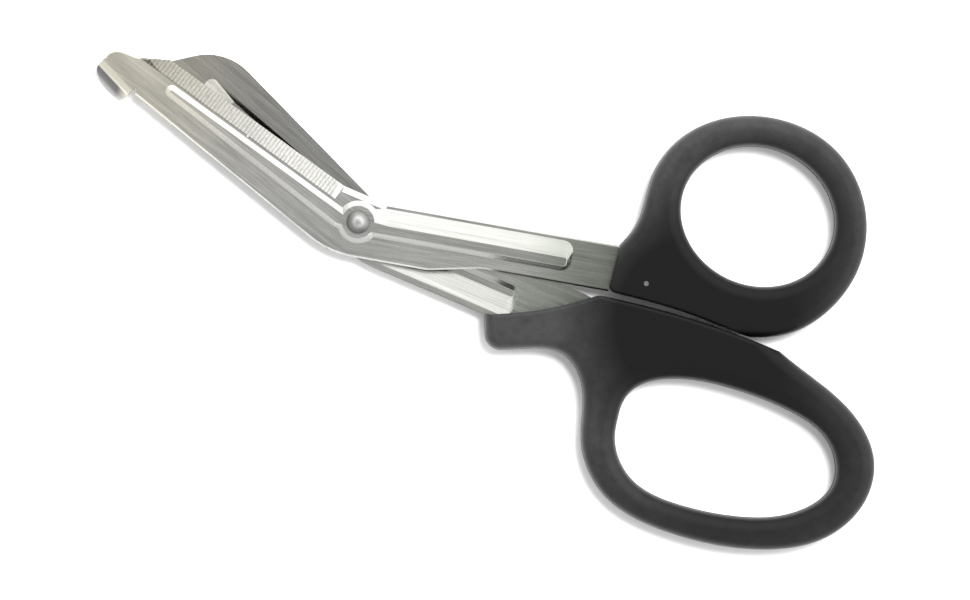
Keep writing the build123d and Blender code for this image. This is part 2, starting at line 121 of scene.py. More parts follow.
def maths(tree, operation, *values, kind="ShaderNodeMath"):
    """The result of a math node."""
    node = add_node(tree, kind)
    node.operation = operation
    for value, put in zip(values, in_use(node.inputs)):
        join(tree, value, put)
    return in_use(node.outputs)[0]


def vector_maths(tree, operation, *values):
    """The result of a vector math node."""
    return maths(tree, operation, *values, kind="ShaderNodeVectorMath")


def component(tree, vector, axis):
    """One component of a vector: X, Y or Z."""
    node = add_node(tree, "ShaderNodeSeparateXYZ")
    join(tree, vector, node.inputs["Vector"])
    return node.outputs[axis]


def spread(tree, value, given, wanted=(0.0, 1.0)):
    """A value moved from the given range to the wanted one, and kept inside it."""
    node = add_node(
        tree, "ShaderNodeMapRange",
        From_Min=given[0], From_Max=given[1], To_Min=wanted[0], To_Max=wanted[1],
    )
    join(tree, value, node.inputs["Value"])
    return node.outputs["Result"]


def blend(tree, factor, first, second, kind="FLOAT", mode="MIX"):
    """Two values mixed by a third."""
    node = add_node(tree, "ShaderNodeMix")
    node.data_type = kind
    node.blend_type = mode
    for value, put in zip((factor, first, second), in_use(node.inputs)):
        join(tree, value, put)
    return in_use(node.outputs)[0]


# %% [markdown]
# The last few helpers are for what a surface shows: noise over it, tones that go with a value,
# and relief too fine to be modelled.

# %% Helpers for surfaces


def noise(tree, vector, **settings):
    """Noise over a piece, from 0 to 1."""
    node = add_node(tree, "ShaderNodeTexNoise", **settings)
    join(tree, vector, node.inputs["Vector"])
    return node.outputs["Fac"]


def colour_ramp(tree, value, stops):
    """The tones of those stops, which follow a value from 0 to 1."""
    node = add_node(tree, "ShaderNodeValToRGB")
    ramp = node.color_ramp
    for _ in stops[2:]:
        ramp.elements.new(1.0)
    for element, (place, colour) in zip(ramp.elements, stops):
        element.position = place
        element.color = colour
    join(tree, value, node.inputs["Fac"])
    return node.outputs["Color"]


def toned(tree, colour, shade):
    """A colour multiplied by a shade."""
    return blend(tree, 1.0, colour, shade, "RGBA", "MULTIPLY")


def relief(tree, height, depth, strength=1.0, under=None):
    """A surface that rises and falls with a value, on top of another relief if one is given."""
    node = add_node(tree, "ShaderNodeBump", Strength=strength, Distance=depth)
    join(tree, height, node.inputs["Height"])
    if under is not None:
        join(tree, under, node.inputs["Normal"])
    return node.outputs["Normal"]


# %% [markdown]
# ## Drawn-out grain
#
# Rolled, polished or ground steel carries fine lines that all run one way. A picture of brushed
# steel could be wrapped round each blade, but it would need seams, and it would stretch over the
# flute. Noise that is drawn out in one direction looks just like the lines and needs neither.
# Each blade's steel needs it five times, so it is a node group: the caller turns the coordinates,
# and says how fine the lines are and how far they are drawn out.

# %% The grain group
GRAIN_NOISE = {"Scale": 1.0, "Detail": 3.0, "Roughness": 0.6}


def socket(group, name, direction, kind):
    """A new named socket on a node group."""
    return group.interface.new_socket(name=name, in_out=direction, socket_type=kind)


grain_group = bpy.data.node_groups.new("drawn_grain", "ShaderNodeTree")
socket(grain_group, "Vector", "INPUT", "NodeSocketVector")
socket(grain_group, "Lines per metre", "INPUT", "NodeSocketFloat")
socket(grain_group, "Stretch", "INPUT", "NodeSocketFloat")
socket(grain_group, "Grain", "OUTPUT", "NodeSocketFloat")
grain_in = grain_group.nodes.new("NodeGroupInput").outputs
grain_out = grain_group.nodes.new("NodeGroupOutput").inputs
fineness = grain_in["Lines per metre"]
combine = add_node(grain_group, "ShaderNodeCombineXYZ")
join(grain_group, maths(grain_group, "DIVIDE", fineness, grain_in["Stretch"]), combine.inputs["X"])
join(grain_group, fineness, combine.inputs["Y"])
join(grain_group, fineness, combine.inputs["Z"])
drawn_out = vector_maths(grain_group, "MULTIPLY", grain_in["Vector"], combine.outputs["Vector"])
join(grain_group, noise(grain_group, drawn_out, **GRAIN_NOISE), grain_out["Grain"])
print("grain group nodes:", len(grain_group.nodes))

# %% [markdown]
# ## Blade steel: the lines
#
# The blades are stamped from rolled stainless sheet and satin polished along their length, so
# the lines turn with the blade at the pivot. Broad soft bands among the fine lines are left by
# the polishing belt. Anisotropic gloss could give such a sheen without any lines, but it shows
# none of the single scratches that the eye looks for, so the lines are drawn.

# %% Polished lines
FINE_LINES = (5200.0, 45.0)            # lines per metre, and how far each is drawn out
BELT_BANDS = (650.0, 30.0)


def turned(tree, vector, degrees):
    """Coordinates turned about Z."""
    node = add_node(tree, "ShaderNodeMapping", Rotation=(0.0, 0.0, math.radians(degrees)))
    join(tree, vector, node.inputs["Vector"])
    return node.outputs["Vector"]


def grain(tree, vector, lines, drawn_out):
    """The grain along the X of those coordinates."""
    node = add_node(tree, "ShaderNodeGroup")
    node.node_tree = grain_group
    join(tree, vector, node.inputs["Vector"])
    join(tree, lines, node.inputs["Lines per metre"])
    join(tree, drawn_out, node.inputs["Stretch"])
    return node.outputs["Grain"]


def polished_lines(tree, blade_way, shank_way, past_pivot, lines):
    """Lines along the blade, and along the shank past the pivot."""
    blade_lines = grain(tree, blade_way, *lines)
    shank_lines = grain(tree, shank_way, *lines)
    return blend(tree, past_pivot, blade_lines, shank_lines)


# %% [markdown]
# ## Blade steel: the ground edge
#
# After polishing, the bevel is ground across, so its lines run the other way and are coarser.
# The bevel could have a material of its own on faces chosen one by one. The shader knows it by
# its distance from the cutting edge instead, so no face has to be chosen. It also darkens the
# grooves between the milled teeth: painted shade in the grooves, along with polishing paste that
# stays behind there.

# %% Bevel and teeth
GROUND_LINES = (3600.0, 9.0)
BEVEL_WIDTH = 3.4 * MM                 # from the cutting edge
BEVEL_SOFT = 0.1 * MM                  # over which polish turns into grinding
EDGE_HEEL = 7 * MM                     # pivot to the start of the cutting edge
HEEL_SOFT = 0.3 * MM
TOOTH_PITCH = 0.8 * MM
TOOTH_START = 7.353 * MM               # pivot to the first groove, along the cutting edge
# painted shade, with polishing paste, in the grooves between the teeth
TOOTH_PASTE_AND_SHADE = [(0.0, (0.62, 0.62, 0.61, 1.0)), (0.5, (1.0, 1.0, 1.0, 1.0))]


def bevel_mask(tree, blade_way, rearwards, edge):
    """1 on the bevel and 0 on the rest of the blade."""
    inner_line = edge["rise"] - BEVEL_WIDTH
    across = vector_maths(tree, "DOT_PRODUCT", blade_way, (-edge["fall"], edge["side"], 0.0))
    past_line = spread(tree, across, (inner_line - BEVEL_SOFT, inner_line))
    past_heel = spread(tree, rearwards, (-EDGE_HEEL, -EDGE_HEEL - HEEL_SOFT))
    return maths(tree, "MULTIPLY", past_line, past_heel)


def tooth_paste_and_shade(tree, blade_way, fall):
    """Painted shade and paste: dark in the grooves between the teeth, and bright on their crests.
    """
    edge_turn = math.atan(fall)
    edge_way = (-math.cos(edge_turn), -math.sin(edge_turn), 0.0)
    along_edge = vector_maths(tree, "DOT_PRODUCT", blade_way, edge_way)
    past_start = maths(tree, "SUBTRACT", along_edge, TOOTH_START)
    from_groove = maths(tree, "PINGPONG", past_start, TOOTH_PITCH / 2)
    return colour_ramp(tree, spread(tree, from_groove, (0.0, TOOTH_PITCH / 2)), TOOTH_PASTE_AND_SHADE)


# %% [markdown]
# ## Blade steel: the painted reflection
#
# The steel is painted warm and bright at the tip and dull and greenish near the handles: a
# painted reflection of the room, which the flat faces show differently along the blade. The
# outside of the folded foot is painted dark: a painted reflection of the dim room. Painting
# these tones by hand would need a texture map, while ramps that follow the length of the blade
# and the height above the table need only a few named tones.

# %% Painted reflection on the steel
# painted reflection: bright and warm at the tip, dark and greenish at the handles
STEEL_REFLECTION_TONES = [                        # from the tip to the handles
    (0.0, (0.93, 0.885, 0.745, 1.0)),
    (0.14, (0.88, 0.845, 0.74, 1.0)),
    (0.3, (0.71, 0.7, 0.665, 1.0)),
    (0.55, (0.7, 0.7, 0.68, 1.0)),
    (0.82, (0.62, 0.63, 0.59, 1.0)),
    (0.92, (0.38, 0.4, 0.355, 1.0)),
    (1.0, (0.26, 0.28, 0.235, 1.0)),
]
# painted dark reflection on the outside of the folded foot
FOLD_PAINTED_DARK_TONES = [                         # outside the folded foot, from its fold downwards
    (0.0, (0.05, 0.05, 0.048, 1.0)),
    (0.45, (0.09, 0.09, 0.086, 1.0)),
    (1.0, (0.42, 0.42, 0.4, 1.0)),
]
FOLD_HEIGHTS = (4.4 * MM, 0.6 * MM)    # where those tones start and end, above the table
FOLD_SHARES = (0.06, 0.1)              # of the length from the tip, where the foot ends
FOLD_LEANS = (0.5, 0.8)                # how far up the foot's side and the flat blade face


def painted_reflection_along(tree, coords, along):
    """Painted reflection on the steel: by the length of the blade, and painted dark outside the
    folded foot.
    """
    normal = add_node(tree, "ShaderNodeNewGeometry").outputs["Normal"]
    near_tip = spread(tree, along, FOLD_SHARES, (1.0, 0.0))
    on_side = spread(tree, component(tree, normal, "Z"), FOLD_LEANS, (1.0, 0.0))
    folded = maths(tree, "MULTIPLY", near_tip, on_side)
    down = spread(tree, component(tree, coords, "Z"), FOLD_HEIGHTS)
    painted_dark_foot = colour_ramp(tree, down, FOLD_PAINTED_DARK_TONES)
    return blend(tree, folded, colour_ramp(tree, along, STEEL_REFLECTION_TONES), painted_dark_foot, "RGBA")


# %% [markdown]
# The lines tone the steel too: a scratch is a little darker than the metal beside it. On the
# bevel the ground lines do the same, and the whole bevel is painted darker towards the tip: a
# painted fade of its reflection.

# %% Shades of the lines
POLISHED_SHADES = [(0.3, (0.7, 0.7, 0.69, 1.0)), (0.68, (1.0, 1.0, 1.0, 1.0))]
GROUND_SHADES = [(0.3, (0.54, 0.54, 0.535, 1.0)), (0.7, (0.86, 0.86, 0.85, 1.0))]
# painted fade of the bevel's reflection towards the tip
GROUND_REFLECTION_FADE = 0.42                     # the bevel's tone at the tip, as a share of the heel's
FADE_SHARES = (0.1, 0.38)              # of the length from the tip, where it darkens


def line_shade(tree, lines, along, blade_way, is_bevel, edge):
    """The shade that the lines lay over the steel's painted reflection, with the bevel's painted
    fade and, where there are teeth, painted shade in their grooves.
    """
    ground_shade = colour_ramp(tree, lines, GROUND_SHADES)
    # painted fade of the bevel's reflection towards the tip
    ground_shade = toned(tree, ground_shade, spread(tree, along, FADE_SHARES, (GROUND_REFLECTION_FADE, 1.0)))
    if edge["toothed"]:
        # painted shade and paste in the grooves of the teeth
        ground_shade = toned(tree, ground_shade, tooth_paste_and_shade(tree, blade_way, edge["fall"]))
    polished_shade = colour_ramp(tree, lines, POLISHED_SHADES)
    return blend(tree, is_bevel, polished_shade, ground_shade, "RGBA")


# %% [markdown]
# ## Blade steel: the finished material
#
# The same lines set the gloss and a very shallow relief, so that tone, gloss and relief agree,
# as they do on real metal. Soft smudges from hands spoil the gloss a little. One function makes
# the steel of both blades, because they differ only in how they lie, in their edge and in a
# factor of painted light: painted shade on the upper blade, a painted highlight on its scoop.

# %% Blade steel
TIP_REACH = 65 * MM                    # pivot to the blade's tip
TANG_REACH = 56 * MM                   # pivot to the handles
PIVOT_SOFT = 1 * MM                    # over which the lines turn, on each side of the pivot
ACROSS = 90.0                          # from the polished lines to the ground ones, in degrees
BAND_SHARE = 0.45                      # of the bands among the polished lines
LINE_VALUES = (0.25, 0.75)             # where nearly all of the grain lies
STEEL_ROUGHNESS = (0.14, 0.3)
SMUDGES = {"Scale": 90.0, "Detail": 3.0}
SMUDGE_ROUGHNESS = 0.1
BAND_DEPTH = 0.06 * MM
LINE_DEPTH = 0.01 * MM
LINE_STRENGTH = 0.4


def blade_steel(name, slopes, painted_light, edge):
    """Satin steel polished along a blade and its shank, and ground along its cutting edge.

    The slopes are those of the blade and of its shank. The painted light scales the blade's colour
    against its shank: painted shade below 1, a painted highlight above 1. The edge is given by its
    side of the blade's axis, how far it rises beside the pivot, how much of that it falls per
    length towards the tip, and whether it has teeth."""
    material, tree, shader = new_material(name)
    coords = object_coordinates(tree)
    from_pivot = vector_maths(tree, "SUBTRACT", coords, pivot)
    rearwards = component(tree, from_pivot, "X")
    past_pivot = spread(tree, rearwards, (-PIVOT_SOFT, PIVOT_SOFT))
    along = spread(tree, rearwards, (-TIP_REACH, TANG_REACH))
    blade_way = turned(tree, from_pivot, slopes[0])
    shank_way = turned(tree, from_pivot, -slopes[1])

    fine = polished_lines(tree, blade_way, shank_way, past_pivot, FINE_LINES)
    bands = polished_lines(tree, blade_way, shank_way, past_pivot, BELT_BANDS)
    ground = grain(tree, turned(tree, blade_way, ACROSS), *GROUND_LINES)
    is_bevel = bevel_mask(tree, blade_way, rearwards, edge)
    lines = blend(tree, is_bevel, blend(tree, BAND_SHARE, fine, bands), ground)

    shade = line_shade(tree, lines, along, blade_way, is_bevel, edge)
    steel = toned(tree, painted_reflection_along(tree, coords, along), shade)
    # painted light on the blade against its shank: painted shade below 1, painted highlight above 1
    painted_blade_light = spread(tree, past_pivot, (0.0, 1.0), (painted_light, 1.0))
    join(tree, toned(tree, steel, painted_blade_light), shader.inputs["Base Color"])

    clean = spread(tree, lines, LINE_VALUES, STEEL_ROUGHNESS)
    smudged = maths(tree, "MULTIPLY_ADD", noise(tree, coords, **SMUDGES), SMUDGE_ROUGHNESS, clean)
    join(tree, smudged, shader.inputs["Roughness"])
    wave = relief(tree, bands, BAND_DEPTH)
    join(tree, relief(tree, lines, LINE_DEPTH, LINE_STRENGTH, wave), shader.inputs["Normal"])
    shader.inputs["Metallic"].default_value = 1.0
    print(name, "nodes:", len(tree.nodes))
    return material


# %% [markdown]
# The slopes and the edges are those of the CAD blades, because the lines have to run along each
# blade and the ground lines have to end where its bevel ends.

# %% The steel of both blades
LOWER_SLOPES = (14.7, 13.4)            # in degrees
LOWER_PAINTED_LIGHT = 1.0
LOWER_EDGE = {"side": 1, "rise": 4.4 * MM, "fall": 2.0 / 52.0, "toothed": True}
UPPER_SLOPES = (17.5, 0.5)
# the upper blade's colour is darkened: painted shade
UPPER_PAINTED_SHADE = 0.68
UPPER_EDGE = {"side": -1, "rise": 6.0 * MM, "fall": 2.2 / 54.5, "toothed": False}
lower_steel = blade_steel("satin_steel_lower", LOWER_SLOPES, LOWER_PAINTED_LIGHT, LOWER_EDGE)
upper_steel = blade_steel("satin_steel_upper", UPPER_SLOPES, UPPER_PAINTED_SHADE, UPPER_EDGE)

# %% [markdown]
# ## Rivet steel
#
# The rivet is the same stainless steel, but it is formed in a punch: a smoother, shinier dome.
# Its top is painted bright as a highlight, and the crease round it is painted dark as shade. That
# shade could be found by ambient occlusion, but on a round dome the distance from the axis gives
# the same ring with less work.

# %% Rivet steel
DOME_RADIUS = 2.45 * MM
# painted highlight in the middle of the dome, painted shade at its rim
DOME_PAINTED_LIGHT = [                         # from the middle of the dome to its rim
    (0.0, (0.98, 0.98, 0.97, 1.0)),
    (0.3, (0.72, 0.72, 0.7, 1.0)),
    (0.6, (0.32, 0.32, 0.31, 1.0)),
    (1.0, (0.13, 0.13, 0.125, 1.0)),
]
SPECKS = {"Scale": 1500.0, "Detail": 2.0}
SPECK_SHADES = [(0.3, (0.85, 0.85, 0.85, 1.0)), (0.7, (1.0, 1.0, 1.0, 1.0))]
SPECK_VALUES = (0.2, 0.8)
RIVET_ROUGHNESS = (0.14, 0.3)


def rivet_steel():
    """Punched steel: without lines, with a painted highlight on top and painted shade at the rim.
    """
    material, tree, shader = new_material("rivet_steel_polished")
    coords = object_coordinates(tree)
    specks = noise(tree, coords, **SPECKS)
    level = vector_maths(tree, "MULTIPLY", coords, (1.0, 1.0, 0.0))
    from_axis = vector_maths(tree, "DISTANCE", level, (pivot.x, pivot.y, 0.0))
    dome = colour_ramp(tree, spread(tree, from_axis, (0.0, DOME_RADIUS)), DOME_PAINTED_LIGHT)
    specked = toned(tree, dome, colour_ramp(tree, specks, SPECK_SHADES))
    join(tree, specked, shader.inputs["Base Color"])
    join(tree, spread(tree, specks, SPECK_VALUES, RIVET_ROUGHNESS), shader.inputs["Roughness"])
    shader.inputs["Metallic"].default_value = 1.0
    return material


rivet_finish = rivet_steel()
print(rivet_finish.name, "nodes:", len(rivet_finish.node_tree.nodes))

# %% [markdown]
# ## Handle plastic: painted sheen and wear
#
# The rings and the lug are painted paler as a sheen, most of all in front and on the thumb ring,
# and hands wear them a little smoother there. The middle, where the two handles meet, stays dark,
# and so do the inner edges of the rings: painted shade. Such a map could be painted in a texture.
# Here it is the product of three shares, each from a distance that can be measured on the real
# scissors.

# %% Places of painted sheen and wear
SHEENLESS_MIDDLE = Vector((75.0, 9.5, 0.0)) * MM        # from the pivot to the middle of the handles
SHEENLESS_REACH = (19.0 * MM, 32.0 * MM)         # where the painted sheen and wear start round it
FRONT_WAY = Vector((-1.0, 0.3, 0.0))             # towards the front and the thumb ring
FRONT_REACH = (-95.0 * MM, -48.0 * MM)           # along it from the pivot, rear and front
REAR_SHEEN_SHARE = 0.3                                 # how much painted sheen and wear the rear gets, against the front
RINGS = [                              # middle from the pivot, and half size
    (Vector((76.5, 33.0, 0.0)) * MM, (23.7 * MM, 22.3 * MM)),
    (Vector((89.0, -11.5, 0.0)) * MM, (31.0 * MM, 22.0 * MM)),
]
RING_SHARES = (0.7, 0.92)              # of the half size: inner edge, and where the ring gets painted sheen and wear
INNER_SHEEN_SHARE = 0.25                     # how much painted sheen and wear the inner edge gets, against the outer half


def outer_ring(tree, coords, middle, half_size):
    """0 at the inner edge of a ring and 1 over its outer half."""
    from_middle = vector_maths(tree, "SUBTRACT", coords, pivot + middle)
    per_half_size = (1 / half_size[0], 1 / half_size[1], 0.0)
    shares = vector_maths(tree, "MULTIPLY", from_middle, per_half_size)
    return spread(tree, vector_maths(tree, "LENGTH", shares), RING_SHARES)


def sheen_and_wear_share(tree, coords):
    """0 where the handles get neither painted sheen nor wear, and 1 where they get most of both."""
    from_middle = vector_maths(tree, "DISTANCE", coords, pivot + SHEENLESS_MIDDLE)
    outwards = spread(tree, from_middle, SHEENLESS_REACH)
    forwards = vector_maths(tree, "DOT_PRODUCT", coords, FRONT_WAY)
    rear, front = (pivot.dot(FRONT_WAY) + reach for reach in FRONT_REACH)
    forward_share = spread(tree, forwards, (rear, front), (REAR_SHEEN_SHARE, 1.0))
    outer_half = maths(tree, "MINIMUM", *(outer_ring(tree, coords, *ring) for ring in RINGS))
    ring_share = spread(tree, outer_half, (0.0, 1.0), (INNER_SHEEN_SHARE, 1.0))
    return maths(tree, "MULTIPLY", maths(tree, "MULTIPLY", outwards, ring_share), forward_share)


# %% [markdown]
# ## Handle plastic: the finished material
#
# The handles are injection moulded in a mould with a fine matt texture. Up close that is a field
# of tiny soft pits, far too many to be modelled, so they are relief from fine noise. Where hands
# rub, the plastic is a little smoother, and it is painted paler there as a sheen, in uneven
# patches.

# %% Handle plastic
# painted sheen: the plastic's colour grows paler with the map
PLASTIC_SHEEN_TONES = [(0.0, (0.0022, 0.0022, 0.0023, 1.0)), (1.0, (0.036, 0.036, 0.0365, 1.0))]
PLASTIC_ROUGHNESS = (0.42, 0.3)        # without, and with most sheen and wear
PLASTIC_GLOSS = 0.2
PATCHES = {"Scale": 300.0, "Detail": 6.0, "Roughness": 0.7}
PATCH_VALUES = (0.3, 0.7)
PATCH_SHARES = (0.65, 1.2)
PITS = {"Scale": 5500.0, "Detail": 2.0, "Roughness": 0.55}
PIT_DEPTH = 0.02 * MM
PIT_STRENGTH = 0.25


def handle_plastic():
    """Satin black plastic: a fine mould texture, painted paler as a sheen and smoother where hands
    rub.
    """
    material, tree, shader = new_material("satin_black_plastic")
    coords = object_coordinates(tree)
    patches = spread(tree, noise(tree, coords, **PATCHES), PATCH_VALUES, PATCH_SHARES)
    sheen_and_wear = maths(tree, "MULTIPLY", sheen_and_wear_share(tree, coords), patches)
    # painted sheen: the plastic's colour paler where the map is high
    join(tree, colour_ramp(tree, sheen_and_wear, PLASTIC_SHEEN_TONES), shader.inputs["Base Color"])
    join(tree, spread(tree, sheen_and_wear, (0.0, 1.0), PLASTIC_ROUGHNESS), shader.inputs["Roughness"])
    pits = noise(tree, coords, **PITS)
    join(tree, relief(tree, pits, PIT_DEPTH, PIT_STRENGTH), shader.inputs["Normal"])
    shader.inputs["Specular IOR Level"].default_value = PLASTIC_GLOSS
    return material


plastic = handle_plastic()
print(plastic.name, "nodes:", len(plastic.node_tree.nodes))

# %% [markdown]
# ## Finishes on the pieces
#
# The material goes in each object's own slot, not in its mesh, so the CAD mesh stays untouched.

# %% Finish every piece
finishes = {
    "lower_blade": lower_steel,
    "upper_blade": upper_steel,
    "pivot_rivet": rivet_finish,
    "thumb_handle": plastic,
    "finger_handle": plastic,
}
for name, finish in finishes.items():
    part = nodes[name]
    part.material_slots[0].link = "OBJECT"
    part.material_slots[0].material = finish
    print(name, "has", finish.name)

# %% [markdown]
# ## Scoop of the upper blade
#
# The flute of the upper blade doesn't end in a short wall at the tip. The press lets its floor
# run out in a long gentle scoop, which catches the light beside the lower blade. The CAD solid
# has a short scoop, so a welded copy of it stands in, with the end of the pressed floor drawn
# back along the blade. The deeper a point of the flute lies, the further it goes. A new mesh of
# the whole blade could do the same, but it would lose the solid's exact outline.

# %% Where the flute ends
BACK = 5.0 * MM                        # how far the end of the floor is drawn back
FLUTE_END = (39.5 * MM, 44.0 * MM)     # the end of the flute, along the blade from the pivot
FLUTE_SIDES = (-0.5 * MM, 3.2 * MM)    # and across it
FLUTE_MIDDLE = 1.2 * MM
FLUTE_DEPTH = 0.9 * MM
NEAR_FACE = -0.025 * MM                # the sheet's two faces, from the middle of the scissors
FAR_FACE = -1.525 * MM
FLUTE_FLOOR = NEAR_FACE - FLUTE_DEPTH
BETWEEN_FACES = (FLUTE_FLOOR + FAR_FACE) / 2

upper_way = math.radians(UPPER_SLOPES[0])
to_tip = Vector((-math.cos(upper_way), math.sin(upper_way), 0.0))
to_spine = Vector((math.sin(upper_way), math.cos(upper_way), 0.0))


def pressed_depth(height):
    """How deep in the flute a point lies, on the near or on the far face of the sheet."""
    face = NEAR_FACE if height > BETWEEN_FACES else FAR_FACE
    return min(max(face - height, 0.0), FLUTE_DEPTH)


def in_flute_end(spot):
    """Whether a point, given from the pivot, is in the tip end of the flute."""
    along, aside = spot.dot(to_tip), spot.dot(to_spine)
    return FLUTE_END[0] < along < FLUTE_END[1] and FLUTE_SIDES[0] < aside < FLUTE_SIDES[1]


# %% [markdown]
# Points on the cutting edge's side of the flute also follow that edge's slant as they go back.
# The faces of the scoop are then those between drawn points that lean gently towards the pivot.

# %% Scoop drawn back
WELD = 0.001 * MM                      # points closer than this are one
SCOOP_LEVEL = (0.9, 0.999)             # how far up a face of the scoop looks
SCOOP_LEAN = -0.06                     # and towards the tip: less than this

scooped = bmesh.new()
scooped.from_mesh(nodes["upper_blade"].data)
scooped.transform(nodes["upper_blade"].matrix_world)
bmesh.ops.remove_doubles(scooped, verts=scooped.verts, dist=WELD)
drawn = {vert for vert in scooped.verts if in_flute_end(vert.co - pivot)}
for vert in drawn:
    spot = vert.co - pivot
    back = BACK * pressed_depth(spot.z) / FLUTE_DEPTH
    vert.co -= to_tip * back
    if spot.dot(to_spine) < FLUTE_MIDDLE:
        vert.co -= to_spine * back * UPPER_EDGE["fall"]
scooped.normal_update()
scoop_faces = [
    face for face in scooped.faces
    if SCOOP_LEVEL[0] < face.normal.z < SCOOP_LEVEL[1] and face.normal.dot(to_tip) < SCOOP_LEAN
    and drawn.issuperset(face.verts)
]
for face in scooped.faces:
    face.smooth = True
# the scoop's faces take the steel with the painted highlight
for face in scoop_faces:
    face.material_index = 1
print("points drawn back:", len(drawn), "scoop faces:", len(scoop_faces))

# %% [markdown]
# The scoop is painted brighter than the flat blade, a painted highlight, so it has a second
# steel. Smooth shading would smear light over the large flat faces, so every edge that turns by
# more than a few degrees stays crisp.

# %% Scooped upper blade
# painted highlight: the scoop's colour against the flat blade's
SCOOP_PAINTED_HIGHLIGHT = 1.42
SHARP_ANGLE = 6.0                      # in degrees


def placed(name, data):
    """A new object in the scene, made of that mesh, lamp or camera."""
    made = bpy.data.objects.new(name, data)
    bpy.context.scene.collection.objects.link(made)
    return made


scooped_mesh = bpy.data.meshes.new("upper_blade_scooped")
scooped.to_mesh(scooped_mesh)
scooped.free()
scooped_mesh.set_sharp_from_angle(angle=math.radians(SHARP_ANGLE))
scooped_mesh.materials.append(upper_steel)
scooped_mesh.materials.append(
    blade_steel("satin_steel_scoop_painted_highlight", UPPER_SLOPES, SCOOP_PAINTED_HIGHLIGHT, UPPER_EDGE)
)
scooped_blade = placed("upper_blade_scooped", scooped_mesh)
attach(scooped_blade, "finger_half")
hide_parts("upper_blade")
print(scooped_blade.name, "faces:", len(scooped_mesh.polygons))

# %% [markdown]
# ## Parting lines
#
# The two halves of the mould leave a hair-thin raised line round each handle, half way up its
# side. A curve drawn by hand would miss the outline here and there. A level cut through a copy
# of the handle gives the exact path: the cut's edges.

# %% Path round a handle
LINE_OFFSET = 0.3 * MM                 # from the middle of the side, clear of the steel tang


def cut_path(part, height):
    """The closed lines where a level plane cuts a CAD piece, as a mesh of edges."""
    cut = bmesh.new()
    cut.from_mesh(part.data)
    cut.transform(part.matrix_world)
    bmesh.ops.remove_doubles(cut, verts=cut.verts, dist=WELD)
    everything = cut.verts[:] + cut.edges[:] + cut.faces[:]
    made = bmesh.ops.bisect_plane(
        cut, geom=everything, plane_co=(0.0, 0.0, height), plane_no=(0.0, 0.0, 1.0)
    )
    kept = set(made["geom_cut"])
    bmesh.ops.delete(cut, geom=cut.faces[:], context="FACES_ONLY")
    bmesh.ops.delete(cut, geom=[edge for edge in cut.edges if edge not in kept], context="EDGES")
    bmesh.ops.delete(cut, geom=[spot for spot in cut.verts if not spot.link_edges], context="VERTS")
    mesh = bpy.data.meshes.new(part.name + "_path")
    cut.to_mesh(mesh)
    cut.free()
    return mesh


# %% [markdown]
# A bead that follows a path is work for Geometry Nodes: they turn the path into a curve, space
# its points evenly and sweep a small circle along it. That makes a thin round bead, half sunk in
# the plastic. The tree has three named inputs besides the path: the bead's radius, the step
# along the path and the finish.

# %% Bead along a path
BEAD_SIDES = 8

bead_tree = bpy.data.node_groups.new("bead_on_path", "GeometryNodeTree")
socket(bead_tree, "Geometry", "INPUT", "NodeSocketGeometry")
radius_input = socket(bead_tree, "Radius", "INPUT", "NodeSocketFloat").identifier
step_input = socket(bead_tree, "Step", "INPUT", "NodeSocketFloat").identifier
finish_input = socket(bead_tree, "Finish", "INPUT", "NodeSocketMaterial").identifier
socket(bead_tree, "Geometry", "OUTPUT", "NodeSocketGeometry")
bead_in = bead_tree.nodes.new("NodeGroupInput")
bead_out = bead_tree.nodes.new("NodeGroupOutput")
path_curve = bead_tree.nodes.new("GeometryNodeMeshToCurve")
even = bead_tree.nodes.new("GeometryNodeResampleCurve")
even.mode = "LENGTH"
profile = add_node(bead_tree, "GeometryNodeCurvePrimitiveCircle", Resolution=BEAD_SIDES)
tube = bead_tree.nodes.new("GeometryNodeCurveToMesh")
real = bead_tree.nodes.new("GeometryNodeRealizeInstances")
coat = bead_tree.nodes.new("GeometryNodeSetMaterial")
join(bead_tree, bead_in.outputs["Geometry"], path_curve.inputs["Mesh"])
join(bead_tree, path_curve.outputs["Curve"], even.inputs["Curve"])
join(bead_tree, bead_in.outputs["Step"], even.inputs["Length"])
join(bead_tree, bead_in.outputs["Radius"], profile.inputs["Radius"])
join(bead_tree, even.outputs["Curve"], tube.inputs["Curve"])
join(bead_tree, profile.outputs["Curve"], tube.inputs["Profile Curve"])
join(bead_tree, tube.outputs["Mesh"], real.inputs["Geometry"])
join(bead_tree, real.outputs["Geometry"], coat.inputs["Geometry"])
join(bead_tree, bead_in.outputs["Finish"], coat.inputs["Material"])
join(bead_tree, coat.outputs["Geometry"], bead_out.inputs["Geometry"])
print("bead tree nodes:", len(bead_tree.nodes))

# %% [markdown]
# The tree runs as a modifier on the path. Its result is then turned into a plain mesh, which can
# be exported as it stands. Each steel tang lies beside the middle of its handle, so the line on
# one handle passes just below the tang and the line on the other just above.

# %% Parting lines on both handles
BEAD_RADIUS = 0.09 * MM
BEAD_STEP = 0.6 * MM


def smooth(mesh):
    """Smooth shading on every face of a mesh."""
    for face in mesh.polygons:
        face.use_smooth = True


def parting_line(part, body, side):
    """The raised line round a handle, just above (1) or below (-1) the middle of its side."""
    middle = (cad_low[2] + cad_high[2]) / 2
    path = placed("path", cut_path(part, middle + side * LINE_OFFSET))
    bead = path.modifiers.new("bead", "NODES")
    bead.node_group = bead_tree
    bead[radius_input] = BEAD_RADIUS
    bead[step_input] = BEAD_STEP
    bead[finish_input] = plastic
    bpy.context.view_layer.update()
    shown = path.evaluated_get(bpy.context.evaluated_depsgraph_get())
    made = bpy.data.meshes.new_from_object(shown)
    path.modifiers.remove(bead)
    bpy.data.objects.remove(path)
    smooth(made)
    line = placed(part.name + "_parting_line", made)
    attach(line, body)
    print(line.name, "faces:", len(made.polygons))


parting_line(nodes["thumb_handle"], "thumb_half", -1)
parting_line(nodes["finger_handle"], "finger_half", 1)

